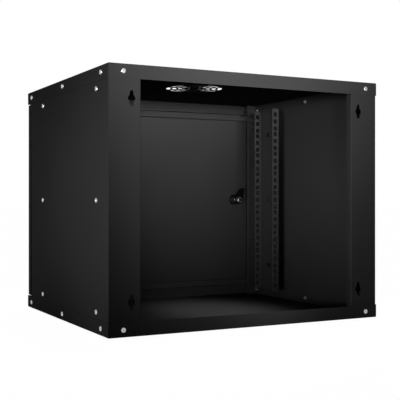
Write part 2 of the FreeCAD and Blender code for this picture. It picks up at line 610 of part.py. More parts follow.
def make_rail():
    """The right 19-inch rail: a C section with a column of square holes in each flange."""
    rail = new_body("right_rail")
    gauge = "Sizes.rail_gauge"
    rear = f"({RAIL_FRONT} + Sizes.rail_depth)"
    profile = sketch_on(rail, "XY_Plane")
    outline(profile, [
        (RAIL_EDGE, RAIL_FRONT), (RAIL_WEB, RAIL_FRONT), (RAIL_WEB, rear), (RAIL_EDGE, rear),
        (RAIL_EDGE, f"{rear} - {gauge}"), (f"{RAIL_WEB} - {gauge}", f"{rear} - {gauge}"),
        (f"{RAIL_WEB} - {gauge}", f"{RAIL_FRONT} + {gauge}"), (RAIL_EDGE, f"{RAIL_FRONT} + {gauge}")])
    section = pad(rail, profile, RAIL_LENGTH)
    front_y = half_depth - size["rail_front_back"]
    rear_y = front_y + size["rail_depth"]
    thick = size["rail_gauge"]
    outer = [dict(x=rail_web, y=front_y), dict(x=rail_web, y=rear_y)]
    folded = bend(rail, section, outer, "Sizes.bend_outside")
    inner = [dict(x=rail_web - thick, y=front_y + thick), dict(x=rail_web - thick, y=rear_y - thick)]
    bend(rail, folded, inner, "Sizes.bend_inside")

    # Three square holes in the lowest unit, repeated up the grid through both flanges.
    squares = sketch_on(rail, "XZ_Plane", f"{HALF_DEPTH}")
    column = "Sizes.hole_columns / 2"
    half = "Sizes.square_hole / 2"
    for step in (0, 1, 2):
        level = f"(Sizes.rail_overrun + Sizes.hole_first + {step} * Sizes.hole_step)"
        sides = (f"{column} - {half}", f"{column} + {half}")
        rectangle(squares, *sides, f"{level} - {half}", f"{level} + {half}")
    first = pocket(rail, squares)
    pattern = rail.newObject("PartDesign::LinearPattern", "unit_pattern")
    pattern.Originals = [first]
    pattern.Direction = (squares, ["V_Axis"])
    pattern.setExpression("Length", "(Sizes.rack_units - 1) * Sizes.unit_pitch")
    pattern.setExpression("Occurrences", "Sizes.rack_units")
    rail.Tip = pattern
    doc.recompute()
    bolts = sketch_on(rail, "YZ_Plane", f"{HALF_WIDTH} + Sizes.cut_margin")
    leg = f"({HALF_DEPTH} - Sizes.channel_back + Sizes.channel_base / 2)"
    for step in (-1, 0, 1):
        level = f"{RAIL_LENGTH} / 2 + {step} * Sizes.rail_bolt_rise"
        circle(bolts, f"{leg} + Sizes.channel_top / 2", level, "Sizes.screw_hole")
    pocket(rail, bolts)
    rail.setExpression("Placement.Base.z", f"({HEIGHT} - {RAIL_LENGTH}) / 2")
    return rail


# ---------------------------------------------------------------- door


def make_door():
    """A solid steel door: a pan with a second inward fold all round its rear."""
    door = new_body("door_panel")
    gauge = "Sizes.sheet_gauge"
    blank = sketch_on(door, "XZ_Plane", HALF_DEPTH)
    rectangle(blank, f"-{DOOR_EDGE}", DOOR_EDGE, "0", DOOR_HEIGHT)
    slab = pad(door, blank, "Sizes.door_thick", reverse=True)
    edge_x = half_width - size["door_inset"]
    top = door_top - door_bottom
    corners = [dict(x=edge_x, z=0), dict(x=-edge_x, z=0), dict(x=edge_x, z=top), dict(x=-edge_x, z=top)]
    rims = [dict(y=door_front, x=edge_x), dict(y=door_front, x=-edge_x), dict(y=door_front, z=0)]
    bend(door, slab, corners + rims + [dict(y=door_front, z=top)], "Sizes.bend_outside")

    # The space between the front skin and the folds, then the opening that the folds leave.
    rear_offset = f"({HALF_DEPTH} - Sizes.door_thick)"
    hollow = sketch_on(door, "XZ_Plane", f"{HALF_DEPTH} - {gauge}")
    rectangle(hollow, f"{gauge} - {DOOR_EDGE}", f"{DOOR_EDGE} - {gauge}", gauge, f"{DOOR_HEIGHT} - {gauge}")
    pocket(door, hollow, f"Sizes.door_thick - 2 * {gauge}")
    opening = sketch_on(door, "XZ_Plane", f"{HALF_DEPTH} - Sizes.door_thick / 2")
    fold = "Sizes.door_return"
    rectangle(opening, f"{fold} - {DOOR_EDGE}", f"{DOOR_EDGE} - {fold}", fold, f"{DOOR_HEIGHT} - {fold}")
    pocket(door, opening)

    lock = sketch_on(door, "XZ_Plane", rear_offset)
    circle(lock, f"Sizes.lock_inset - {HALF_WIDTH}", f"{DOOR_HEIGHT} / 2", "Sizes.lock_bore")
    pocket(door, lock, reverse=True)
    pins = sketch_on(door, "XY_Plane", "-Sizes.cut_margin")
    circle(pins, HINGE_X, f"Sizes.hinge_back - {HALF_DEPTH}", "Sizes.hinge_pin + 2 * Sizes.running_gap")
    pocket(door, pins, reverse=True)
    door.setExpression("Placement.Base.z", DOOR_BOTTOM)
    return door


def turned(label, profile):
    """A round piece: half its section, drawn as radius and height pairs, turned about the Z axis."""
    body = new_body(label)
    section = sketch_on(body, "XZ_Plane")
    outline(section, profile)
    feature = body.newObject("PartDesign::Revolution", label + "_turn")
    feature.Profile = section
    feature.ReferenceAxis = (section, ["V_Axis"])
    feature.Angle = FULL_TURN
    section.Visibility = False
    doc.recompute()
    return body


def hexagon_nut(label, width, thickness, bore):
    """A hexagonal nut that stands on the XY plane, with a plain bore in place of its thread."""
    nut = new_body(label)
    flats = sketch_on(nut, "XY_Plane")
    corner = f"{width} / sqrt(3)"
    points = []
    for across, along in ((1, 0), (0.5, 1), (-0.5, 1), (-1, 0), (-0.5, -1), (0.5, -1)):
        points.append((f"{across} * {corner}", f"{along} * {width} / 2"))
    outline(flats, points)
    circle(flats, "0", "0", bore)
    pad(nut, flats, thickness)
    return nut


# ---------------------------------------------------------------- hinge


def make_lower_pin():
    """The door's lower hinge pin, riveted in the bottom fold; its tip turns in the bottom cover's lip."""
    radius = "Sizes.hinge_pin / 2"
    foot = "(Sizes.sheet_gauge + Sizes.door_gap + Sizes.sheet_gauge + Sizes.pin_reach)"
    pin = turned("lower_hinge_pin", [
        ("0", f"-{foot}"), (f"{radius} - Sizes.rim_cut", f"-{foot}"),
        (radius, f"Sizes.rim_cut - {foot}"),
        (radius, "0"), ("Sizes.pin_head / 2", "0"), ("Sizes.pin_head / 2", "Sizes.pin_head_height"),
        ("0", "Sizes.pin_head_height")])
    place_on_hinge(pin, f"{DOOR_BOTTOM} + Sizes.sheet_gauge")
    return pin


def ring(label, width, bore, thickness, level):
    """A flat ring about the hinge axis."""
    body = new_body(label)
    face = sketch_on(body, "XY_Plane")
    circle(face, "0", "0", width)
    circle(face, "0", "0", bore)
    pad(body, face, thickness)
    place_on_hinge(body, level)
    return body


def make_upper_pin():
    """The sprung upper hinge pin: a rod bent into a handle, which is pulled down to take the door off."""
    pin = new_body("upper_hinge_pin")
    rise = "(Sizes.door_gap + Sizes.sheet_gauge + Sizes.pin_reach)"
    drop = "(Sizes.guide_drop + Sizes.handle_drop)"
    profile = sketch_on(pin, "XY_Plane", rise)
    circle(profile, "0", "0", "Sizes.hinge_pin")
    path = sketch_on(pin, "XZ_Plane")
    top = size["door_gap"] + size["sheet_gauge"] + size["pin_reach"]
    low = -size["guide_drop"] - size["handle_drop"]
    radius = size["handle_bend"]
    rod = path.addGeometry(Part.LineSegment(V(0, top, 0), V(0, low + radius, 0)), False)
    turn = Part.Circle(V(-radius, low + radius, 0), V(0, 0, 1), radius)
    arc = Part.ArcOfCircle(turn, 1.5 * math.pi, 2 * math.pi)
    elbow = path.addGeometry(arc, False)
    end = V(-size["handle_length"], low, 0)
    handle = path.addGeometry(Part.LineSegment(V(-radius, low, 0), end), False)
    path.addConstraint(Sketcher.Constraint("Tangent", rod, 2, elbow, 2))
    path.addConstraint(Sketcher.Constraint("Tangent", elbow, 1, handle, 1))
    path.addConstraint(Sketcher.Constraint("Horizontal", handle))
    pin_point(path, rod, 1, "0", rise)
    pin_point(path, handle, 2, "-Sizes.handle_length", f"-{drop}")
    path.addConstraint(Sketcher.Constraint("Vertical", rod))
    index = path.addConstraint(Sketcher.Constraint("Radius", elbow, radius))
    path.setExpression(f"Constraints[{index}]", "Sizes.handle_bend")
    pipe = pin.newObject("PartDesign::AdditivePipe", "pin_pipe")
    pipe.Profile = profile
    pipe.Spine = (path, ["Edge1", "Edge2", "Edge3"])
    doc.recompute()
    place_on_hinge(pin, f"{DOOR_BOTTOM} + {DOOR_HEIGHT}")
    return pin


def make_pin_guide():
    """The angle spot-welded inside the door that guides the upper pin and carries its spring."""
    guide = new_body("hinge_pin_guide")
    section = sketch_on(guide, "YZ_Plane", "-Sizes.guide_width / 2 - Sizes.guide_offset")
    skin = "(Sizes.sheet_gauge - Sizes.hinge_back)"
    gauge = "Sizes.frame_gauge"
    outline(section, [
        (skin, "0"), (skin, "-Sizes.guide_leg"), (f"{skin} + {gauge}", "-Sizes.guide_leg"),
        (f"{skin} + {gauge}", f"-{gauge}"), (f"{skin} + Sizes.guide_depth", f"-{gauge}"),
        (f"{skin} + Sizes.guide_depth", "0")])
    angle = pad(guide, section, "Sizes.guide_width")
    y = size["sheet_gauge"] - size["hinge_back"]
    thick = size["frame_gauge"]
    folded = bend(guide, angle, [dict(y=y, z=0)], "Sizes.bend_outside")
    bend(guide, folded, [dict(y=y + thick, z=-thick)], "Sizes.bend_inside")
    hole = sketch_on(guide, "XY_Plane", "Sizes.cut_margin")
    circle(hole, "0", "0", "Sizes.hinge_pin + 2 * Sizes.running_gap")
    pocket(guide, hole)
    place_on_hinge(guide, f"{DOOR_BOTTOM} + {DOOR_HEIGHT} - Sizes.guide_drop")
    return guide


def make_pin_spring():
    """The coil spring between the guide and the stop ring: a round wire along short runs of a helix."""
    wire = size["spring_wire"]
    radius = (size["spring_width"] - wire) / 2
    span = size["guide_drop"] - size["sheet_gauge"] - size["ring_height"] - wire
    runs = int(size["spring_turns"] * size["spring_runs"])
    turn = 2 * math.pi / size["spring_runs"]
    corners = []
    for k in range(runs + 1):
        corners.append(V(radius * math.cos(turn * k), radius * math.sin(turn * k), span * k / runs))
    path = Part.makePolygon(corners)
    start = Part.makeCircle(wire / 2, corners[0], corners[1] - corners[0])
    sharp_corners = 1
    coil = path.makePipeShell([Part.Wire([start])], True, False, sharp_corners)
    spring = doc.addObject("Part::Feature", "hinge_spring")
    spring.Label = "hinge_spring"
    spring.Shape = coil
    spring.Placement = FreeCAD.Placement(V(hinge_x, hinge_y, guide_top + wire / 2), FreeCAD.Rotation())
    return spring


# ---------------------------------------------------------------- lock


def make_lock_housing():
    """The lock's fixed barrel, with the rim that shows on the door's face."""
    bore = "(Sizes.lock_plug / 2 + Sizes.running_gap)"
    rim = "Sizes.lock_bezel / 2"
    housing = turned("lock_housing", [
        (bore, "-Sizes.head_height"), (f"{rim} - Sizes.rim_cut", "-Sizes.head_height"),
        (rim, "Sizes.rim_cut - Sizes.head_height"), (rim, "0"), ("Sizes.lock_body / 2", "0"),
        ("Sizes.lock_body / 2", "Sizes.lock_length"), (bore, "Sizes.lock_length")])
    place_on_lock(housing, f"-{HALF_DEPTH}")
    return housing


def make_lock_plug():
    """The turning plug: key slot in front, square drive for the cam and a threaded end behind."""
    radius = "Sizes.lock_plug / 2"
    front = "(Sizes.plug_sunk - Sizes.head_height)"
    seat = "(Sizes.front_setback + Sizes.sheet_gauge + Sizes.cam_clearance)"
    tip = f"({seat} + Sizes.cam_gauge + Sizes.cam_nut_height + Sizes.stud_past_nut)"
    stud = "Sizes.stud_width / 2"
    plug = turned("lock_plug", [
        ("0", front), (radius, front), (radius, seat), (stud, seat), (stud, tip), ("0", tip)])
    square = sketch_on(plug, "XY_Plane", seat)
    half = "Sizes.cam_square / 2"
    rectangle(square, f"-{half}", half, f"-{half}", half)
    pad(plug, square, "Sizes.cam_gauge")
    key = sketch_on(plug, "XY_Plane", front)
    across = "Sizes.key_slot_width / 2"
    along = "Sizes.key_slot_length / 2"
    rectangle(key, f"-{across}", across, f"-{along}", along)
    pocket(plug, key, "Sizes.key_slot_depth", reverse=True)
    place_on_lock(plug, f"-{HALF_DEPTH}", size["cam_lean"])
    return plug


def make_lock_cam():
    """The cam: a flat hook with a round hub and a narrower round tip, driven by a square hole."""
    cam = new_body("lock_cam")
    face = sketch_on(cam, "XY_Plane")
    hub = size["cam_hub"] / 2
    tip = size["cam_tip"] / 2
    reach = size["cam_reach"] - tip
    slope = math.asin((hub - tip) / reach)
    up = V(0, 0, 1)
    hub_arc = Part.ArcOfCircle(Part.Circle(V(0, 0, 0), up, hub), math.pi - slope, 2 * math.pi + slope)
    tip_arc = Part.ArcOfCircle(Part.Circle(V(0, reach, 0), up, tip), slope, math.pi - slope)
    round_hub = face.addGeometry(hub_arc, False)
    round_tip = face.addGeometry(tip_arc, False)
    for first, last in ((round_hub, round_tip), (round_tip, round_hub)):
        ends = (face.getPoint(first, 2), face.getPoint(last, 1))
        side = face.addGeometry(Part.LineSegment(*ends), False)
        face.addConstraint(Sketcher.Constraint("Tangent", first, 2, side, 1))
        face.addConstraint(Sketcher.Constraint("Tangent", side, 2, last, 1))
    for edge, radius, name in ((round_hub, hub, "Sizes.cam_hub / 2"), (round_tip, tip, "Sizes.cam_tip / 2")):
        index = face.addConstraint(Sketcher.Constraint("Radius", edge, radius))
        face.setExpression(f"Constraints[{index}]", name)
    pin_point(face, round_hub, 3, "0", "0")
    pin_point(face, round_tip, 3, "0", "Sizes.cam_reach - Sizes.cam_tip / 2")
    half = "(Sizes.cam_square / 2 + Sizes.thread_gap)"
    rectangle(face, f"-{half}", half, f"-{half}", half)
    pad(cam, face, "Sizes.cam_gauge")
    place_on_lock(cam, f"{FLANGE_FRONT} + Sizes.sheet_gauge + Sizes.cam_clearance", size["cam_lean"])
    return cam


# ---------------------------------------------------------------- fasteners


def make_screw(label, head, rise):
    """A screw that stands on the XY plane, its plain round head upwards."""
    shank = "Sizes.screw_shank / 2"
    tip = "-Sizes.screw_length"
    return turned(label, [
        ("0", tip), (shank, tip), (shank, "0"), (f"{head} / 2", "0"), (f"{head} / 2", rise), ("0", rise)])


# ---------------------------------------------------------------- build

top_cover = make_cover("top_cover", 1)
bottom_cover = make_cover("bottom_cover", -1)
right_side_panel = make_side_panel()
left_side_panel = mirrored(right_side_panel, "left_side_panel")
right_rear_post = make_rear_post()
left_rear_post = mirrored(right_rear_post, "left_rear_post")
right_rail_channel = make_channel()
left_rail_channel = mirrored(right_rail_channel, "left_rail_channel")
right_rail = make_rail()
left_rail = mirrored(right_rail, "left_rail")
door_panel = make_door()

lower_hinge_pin = make_lower_pin()
washer_bore = "Sizes.hinge_pin + 4 * Sizes.running_gap"
washer_height = "(Sizes.door_gap - Sizes.washer_gap)"
lower_hinge_washer = ring(
    "lower_hinge_washer", "Sizes.washer_width", washer_bore, washer_height, "Sizes.cover_flange")
upper_hinge_pin = make_upper_pin()
hinge_pin_guide = make_pin_guide()
ring_level = f"{DOOR_BOTTOM} + {DOOR_HEIGHT} - Sizes.sheet_gauge - Sizes.ring_height"
ring_bore = "Sizes.hinge_pin + 2 * Sizes.thread_gap"
hinge_stop_ring = ring(
    "hinge_stop_ring", "Sizes.washer_width", ring_bore, "Sizes.ring_height", ring_level)
hinge_spring = make_pin_spring()

lock_housing = make_lock_housing()
lock_plug = make_lock_plug()
lock_cam = make_lock_cam()
lock_nut = hexagon_nut(
    "lock_nut", "Sizes.lock_nut_width", "Sizes.lock_nut_height", "Sizes.lock_body + 2 * Sizes.thread_gap")
place_on_lock(lock_nut, f"Sizes.sheet_gauge - {HALF_DEPTH}")
lock_cam_nut = hexagon_nut(
    "lock_cam_nut", "Sizes.cam_nut_width", "Sizes.cam_nut_height", "Sizes.stud_width + 2 * Sizes.thread_gap")
cam_back = f"{FLANGE_FRONT} + Sizes.sheet_gauge + Sizes.cam_clearance + Sizes.cam_gauge"
place_on_lock(lock_cam_nut, cam_back, size["cam_lean"])

# One screw, one bolt and one nut are drawn, and every group is made of copies of them.
screw = make_screw("case_screw", "Sizes.screw_head", "Sizes.head_height").Shape
bolt = make_screw("rail_bolt", "Sizes.bolt_head", "Sizes.bolt_head_height").Shape
nut_bore = "Sizes.screw_shank + 2 * Sizes.thread_gap"
nut = hexagon_nut("case_nut", "Sizes.nut_width", "Sizes.nut_height", nut_bore).Shape

low = size["cover_screw_rise"]
high = height - low
middle = height / 2
side_y = half_depth - size["side_screw_inset"]
rear_x = half_width - size["rear_screw_inset"]
post_inside = post_outside - size["frame_gauge"]
post_y = half_depth - size["post_screw_back"]
panel_levels = [middle + step * size["panel_screw_rise"] for step in (-1, 0, 1)]
bolt_levels = [middle + step * size["rail_bolt_rise"] for step in (-1, 0, 1)]
bolt_y = leg_y + size["channel_top"] / 2
bolt_seat = rail_web - size["rail_gauge"]
channel_back_face = rail_web + size["frame_gauge"]


def on_sides(signs, outside, depths, levels):
    """Places at one distance out on the sides given, looking outwards."""
    return [facing(sign * outside, y, z, (sign, 0, 0)) for sign in signs for y in depths for z in levels]


def inside_sides(signs, outside, depths, levels):
    """The same places, looking inwards."""
    return [facing(sign * outside, y, z, (-sign, 0, 0)) for sign in signs for y in depths for z in levels]


both = (-1, 1)
fasteners = [
    group("top_cover_side_screws", screw, on_sides(both, half_width, (-side_y, 0, side_y), [high])),
    group("bottom_cover_side_screws", screw, on_sides(both, half_width, (-side_y, 0, side_y), [low])),
    group("top_cover_rear_screws", screw, [facing(x * rear_x, half_depth, high, (0, 1, 0)) for x in both]),
    group("bottom_cover_rear_screws", screw, [facing(x * rear_x, half_depth, low, (0, 1, 0)) for x in both]),
    group("left_side_panel_screws", screw, on_sides([-1], panel_outside, (channel_y, post_y), panel_levels)),
    group("right_side_panel_screws", screw, on_sides([1], panel_outside, (channel_y, post_y), panel_levels)),
    group("cover_side_nuts", nut, inside_sides(both, panel_inside, (-side_y, 0), [low, high])
          + inside_sides(both, post_inside, [side_y], [low, high])),
    group("cover_rear_nuts", nut, [facing(x * rear_x, post_rear - size["frame_gauge"], z, (0, -1, 0))
                                   for x in both for z in (low, high)]),
    group("left_side_panel_nuts", nut, inside_sides([-1], post_inside, (channel_y, post_y), panel_levels)),
    group("right_side_panel_nuts", nut, inside_sides([1], post_inside, (channel_y, post_y), panel_levels)),
    group("rail_bolts", bolt, inside_sides(both, bolt_seat, [bolt_y], bolt_levels)),
    group("rail_nuts", nut, on_sides(both, channel_back_face, [bolt_y], bolt_levels)),
]

pieces = [
    top_cover, bottom_cover, right_side_panel, left_side_panel, right_rear_post, left_rear_post,
    right_rail_channel, left_rail_channel, right_rail, left_rail, door_panel,
    lower_hinge_pin, lower_hinge_washer, upper_hinge_pin, hinge_pin_guide, hinge_stop_ring, hinge_spring,
    lock_housing, lock_plug, lock_cam, lock_nut, lock_cam_nut] + fasteners
doc.recompute()
for item in doc.Objects:
    if "Invalid" in item.State or "Error" in item.State:
        raise RuntimeError(f"{item.Label}: {item.State}")
for piece in pieces:
    if piece.Shape.isNull() or not piece.Shape.isValid():
        raise RuntimeError(f"{piece.Label} has no valid shape")
os.makedirs("parts", exist_ok=True)
for piece in pieces:
    piece.Shape.exportStep(f"parts/{piece.Label}.step")
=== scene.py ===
import math

import bpy
from mathutils import Matrix, Vector


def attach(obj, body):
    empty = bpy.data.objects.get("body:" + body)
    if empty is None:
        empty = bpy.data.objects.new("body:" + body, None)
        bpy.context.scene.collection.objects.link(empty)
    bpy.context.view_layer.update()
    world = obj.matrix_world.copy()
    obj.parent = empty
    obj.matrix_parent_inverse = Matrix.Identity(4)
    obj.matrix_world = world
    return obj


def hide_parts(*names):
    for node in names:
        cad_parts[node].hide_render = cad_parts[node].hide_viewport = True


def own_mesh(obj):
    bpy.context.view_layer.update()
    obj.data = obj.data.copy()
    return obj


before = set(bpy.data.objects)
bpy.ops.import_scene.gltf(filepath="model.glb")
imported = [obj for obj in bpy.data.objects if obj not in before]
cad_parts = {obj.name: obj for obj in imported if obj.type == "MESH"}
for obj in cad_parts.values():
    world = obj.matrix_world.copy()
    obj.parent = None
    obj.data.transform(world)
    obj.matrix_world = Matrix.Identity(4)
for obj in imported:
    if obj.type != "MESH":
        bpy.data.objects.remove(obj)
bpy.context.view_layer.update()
scene = bpy.context.scene
scene.view_settings.view_transform = "Standard"

# ---------------------------------------------------------------- camera
# The cabinet is seen from the wall side and from its own right, level with the middle of its
# height, so that the open rear, the inside of the door and the right side panel all show.
LENS_MM = 76.05
SENSOR_MM = 36
FRAME_SHIFT = -0.00475
EYE = Vector((0.8034, 1.5727, 0.2370))
VIEW_DIRECTION = Vector((-0.4612, -0.8873, 0.0))

camera_data = bpy.data.cameras.new("camera")
camera_data.lens = LENS_MM
camera_data.sensor_width = SENSOR_MM
camera_data.shift_y = FRAME_SHIFT
camera_data.clip_end = 50
camera = bpy.data.objects.new("camera", camera_data)
camera.location = EYE
camera.rotation_euler = VIEW_DIRECTION.to_track_quat("-Z", "Y").to_euler()
scene.collection.objects.link(camera)
scene.camera = camera

# ---------------------------------------------------------------- folded sheets
# Covers, side panels, posts, channels, rails and door are punched and folded steel sheet under a
# fine matt black powder coat.  The baked coat has a slight orange peel.  Along the folds and cut
# edges it is painted a little paler and smoother in uneven patches, partly as handling wear and
# partly as a painted highlight on the bends, since the coat has no gloss of its own.
COAT_DARK = (0.0200, 0.0200, 0.0206, 1)
COAT_PALE = (0.0262, 0.0262, 0.0269, 1)
# The paler edge colour is partly rubbed coat and partly a painted highlight.
COAT_RUBBED_AND_HIGHLIT = (0.0520, 0.0520, 0.0530, 1)
COAT_SPECULAR = 0.0
PEEL_GRAIN = 0.0014
PEEL_STRENGTH = 0.12
PEEL_DEPTH = 0.0002
SPECK_GRAIN = 0.0004
CLOUD_GRAIN = 0.12
WEAR_AND_HIGHLIGHT_WIDTH = 0.0012
WEAR_AND_HIGHLIGHT_PATCHES = 0.03
EDGE_FROM, EDGE_FULL = 0.02, 0.22
PATCH_FROM, PATCH_FULL = 0.35, 0.62


class Value:
    """A shader socket with the arithmetic operators; each one adds its Math node."""

    def __init__(self, finish, socket):
        self.finish = finish
        self.socket = socket

    def _math(self, operation, first, second):
        return self.finish.node("ShaderNodeMath", {"operation": operation}, {0: first, 1: second})

    def __add__(self, other):
        return self._math("ADD", self, other)

    def __radd__(self, other):
        return self._math("ADD", other, self)

    def __rsub__(self, other):
        return self._math("SUBTRACT", other, self)

    def __mul__(self, other):
        return self._math("MULTIPLY", self, other)

    def __rmul__(self, other):
        return self._math("MULTIPLY", other, self)


class Finish:
    """One material or world under construction."""

    def __init__(self, tree):
        self.tree = tree
        tree.nodes.clear()

    def node(self, kind, settings=None, inputs=None, output=0):
        """Adds a node, sets its settings, then its sockets to numbers or links."""
        made = self.tree.nodes.new(kind)
        for name, setting in (settings or {}).items():
            if name == "stops":
                for element, (place, level) in zip(made.color_ramp.elements, setting):
                    element.position = place
                    element.color = (level, level, level, 1)
            else:
                setattr(made, name, setting)
        for name, given in (inputs or {}).items():
            if isinstance(given, Value):
                self.tree.links.new(given.socket, made.inputs[name])
            else:
                made.inputs[name].default_value = given
        return Value(self, made.outputs[output] if made.outputs else None)

    def noise(self, place, grain, detail=2):
        """Noise whose lumps are about grain metres across."""
        inputs = {"Vector": place, "Scale": 1 / grain, "Detail": detail}
        return self.node("ShaderNodeTexNoise", {}, inputs)

    def stepped(self, value, low, high):
        """0 below low, 1 above high, and a straight slope between."""
        return self.node("ShaderNodeValToRGB", {"stops": ((low, 0), (high, 1))}, {0: value})

    def blend(self, factor, first, second):
        """A colour between two colours."""
        settings = {"data_type": "RGBA"}
        return self.node("ShaderNodeMix", settings, {0: factor, 6: first, 7: second}, output=2)

    def bump(self, height, strength, distance):
        inputs = {"Strength": strength, "Distance": distance, "Height": height}
        return self.node("ShaderNodeBump", {}, inputs)

    def patchy_edge_mask(self, place, width, patches):
        """Near 1 in uneven patches along folds and cut edges, for wear and the coat's painted
        highlight.
        """
        rounded = self.node("ShaderNodeBevel", {"samples": 4}, {"Radius": width})
        flat = self.node("ShaderNodeNewGeometry", output="Normal")
        facing = self.node("ShaderNodeVectorMath", {"operation": "DOT_PRODUCT"},
                           {0: rounded, 1: flat}, output="Value")
        edge = self.stepped(1 - facing, EDGE_FROM, EDGE_FULL)
        return edge * self.stepped(self.noise(place, patches, 4), PATCH_FROM, PATCH_FULL)


def grey(level):
    return (level, level, level, 1)


def new_finish(name):
    material = bpy.data.materials.new(name)
    material.use_nodes = True
    finish = Finish(material.node_tree)
    place = finish.node("ShaderNodeTexCoord", output="Object")
    return material, finish, place


def close_finish(finish, shader_inputs):
    shader = finish.node("ShaderNodeBsdfPrincipled", {}, shader_inputs)
    finish.node("ShaderNodeOutputMaterial", {}, {"Surface": shader})


def dress(material, *names):
    """Gives CAD nodes a finish in their material slot."""
    for name in names:
        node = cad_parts[name]
        node.data.materials.clear()
        node.data.materials.append(material)


def powder_coat():
    material, finish, place = new_finish("black_powder_coat")
    cloud = finish.noise(place, CLOUD_GRAIN, 3)
    speck = finish.noise(place, SPECK_GRAIN)
    peel = finish.noise(place, PEEL_GRAIN)
    # Edge mark: paler coat along folds and cut edges, partly handling wear, partly a painted
    # highlight.
    edge_mark = finish.patchy_edge_mask(place, WEAR_AND_HIGHLIGHT_WIDTH, WEAR_AND_HIGHLIGHT_PATCHES)
    mottle = cloud * 0.5 + speck * 0.5
    coat_colour = finish.blend(mottle, COAT_DARK, COAT_PALE)
    close_finish(finish, {
        "Base Color": finish.blend(edge_mark * 0.6, coat_colour, COAT_RUBBED_AND_HIGHLIT),
        "Roughness": 0.40 + 0.10 * cloud + 0.06 * speck + -0.08 * edge_mark,
        "Specular IOR Level": COAT_SPECULAR,
        "Normal": finish.bump(peel, PEEL_STRENGTH, PEEL_DEPTH),
    })
    return material


dress(powder_coat(), "top_cover", "bottom_cover", "left_side_panel", "right_side_panel",
      "left_rear_post", "right_rear_post", "left_rail_channel", "right_rail_channel",
      "left_rail", "right_rail", "door_panel", "hinge_pin_guide")

# ---------------------------------------------------------------- case screws
# Twenty-eight zinc plated M5 pan head screws with a cross recess hold the covers and the side
# panels.  They are cold headed and rolled, so the rim is rounded and the thread is soft edged.
MM = 0.001
HEAD_WIDTH = 8.6
HEAD_HEIGHT = 2.5
HEAD_ROUNDING = 1.1
SHANK_WIDTH = 5.0
SHANK_LENGTH = 9.0
THREAD_PITCH = 0.9
THREAD_ROOT = 0.86
TIP_CHAMFER = 0.35
RECESS_SPAN = 4.6
RECESS_WIDTH = 1.15
RECESS_DEPTH = 1.7
RECESS_TAPER = 0.62
ROUND_SIDES = 32
SCREW_CREASE = 35
ROLL_STEP = 37
NEIGHBOUR = 0.016
PLATE_GRAIN = 0.003
PLATE_RUB_WIDTH = 0.0003
PLATE_RUB_PATCHES = 0.004
SCRATCH_GRAIN = 0.0003
SCRATCH_STRENGTH = 0.1
SCRATCH_DEPTH = 0.00005


def start_piece():
    """Nothing selected, so that the next operators act on the new piece alone."""
    if bpy.context.object and bpy.context.object.mode != "OBJECT":
        bpy.ops.object.mode_set(mode="OBJECT")
    bpy.ops.object.select_all(action="DESELECT")


def edit_faces(piece, chosen):
    """Opens the piece in edit mode with only the chosen faces selected."""
    bpy.ops.object.mode_set(mode="OBJECT")
    scene.tool_settings.mesh_select_mode = (False, False, True)
    for part in (piece.data.vertices, piece.data.edges):
        for item in part:
            item.select = False
    for face in piece.data.polygons:
        face.select = chosen(face)
    bpy.ops.object.mode_set(mode="EDIT")


def extrude_selected(x, y, z):
    bpy.ops.mesh.extrude_region_move(TRANSFORM_OT_translate={"value": (x, y, z)})


def resize_selected(across, along=1.0):
    bpy.ops.transform.resize(value=(across, across, along))


def cut_with(piece, cutter, operation):
    """Applies a boolean with the cutter, then removes the cutter."""
    bpy.ops.object.mode_set(mode="OBJECT")
    start_piece()
    piece.select_set(True)
    bpy.context.view_layer.objects.active = piece
    modifier = piece.modifiers.new(cutter.name, "BOOLEAN")
    modifier.object = cutter
    modifier.operation = operation
    modifier.solver = "EXACT"
    bpy.ops.object.modifier_apply(modifier=modifier.name)
    bpy.data.objects.remove(cutter, do_unlink=True)


def soften(piece, degrees):
    start_piece()
    piece.select_set(True)
    bpy.context.view_layer.objects.active = piece
    bpy.ops.object.shade_smooth_by_angle(angle=math.radians(degrees))


def recess_cutter(top, span, width, depth, turned):
    """One arm of the cross recess: a wedge that narrows towards its bottom."""
    start_piece()
    bpy.ops.mesh.primitive_cube_add(size=1, location=(0, 0, top))
    arm = bpy.context.object
    arm.name = "recess_arm"
    size = (width, span, 2 * depth) if turned else (span, width, 2 * depth)
    bpy.ops.transform.resize(value=size)
    bpy.ops.object.transform_apply(location=True, rotation=True, scale=True)
    edit_faces(arm, lambda face: face.normal.z < -0.5)
    resize_selected(RECESS_TAPER)
    bpy.ops.object.mode_set(mode="OBJECT")
    return arm


def headed_screw(name, head_width, head_height, rounding):
    """A screw in millimetres that stands on the XY plane, head up, as the CAD's screws do."""
    start_piece()
    bpy.ops.mesh.primitive_cylinder_add(
        vertices=ROUND_SIDES, radius=head_width / 2, depth=head_height,
        location=(0, 0, head_height / 2))
    screw = bpy.context.object
    screw.name = name
    bpy.ops.object.transform_apply(location=True, rotation=True, scale=True)
    edit_faces(screw, lambda face: face.normal.z > 0.9)
    bpy.ops.mesh.bevel(offset=rounding, segments=4, profile=0.5, affect="EDGES")
    edit_faces(screw, lambda face: face.normal.z < -0.9)
    bpy.ops.mesh.inset(thickness=(head_width - SHANK_WIDTH) / 2)
    for turn in range(int(SHANK_LENGTH / THREAD_PITCH)):
        extrude_selected(0, 0, -THREAD_PITCH / 2)
        resize_selected(THREAD_ROOT)
        extrude_selected(0, 0, -THREAD_PITCH / 2)
        resize_selected(1 / THREAD_ROOT)
    bpy.ops.mesh.bevel(offset=TIP_CHAMFER, segments=1, affect="EDGES")
    bpy.ops.object.mode_set(mode="OBJECT")
    for turned in (False, True):
        arm = recess_cutter(head_height, RECESS_SPAN, RECESS_WIDTH, RECESS_DEPTH, turned)
        cut_with(screw, arm, "DIFFERENCE")
    soften(screw, SCREW_CREASE)
    return screw


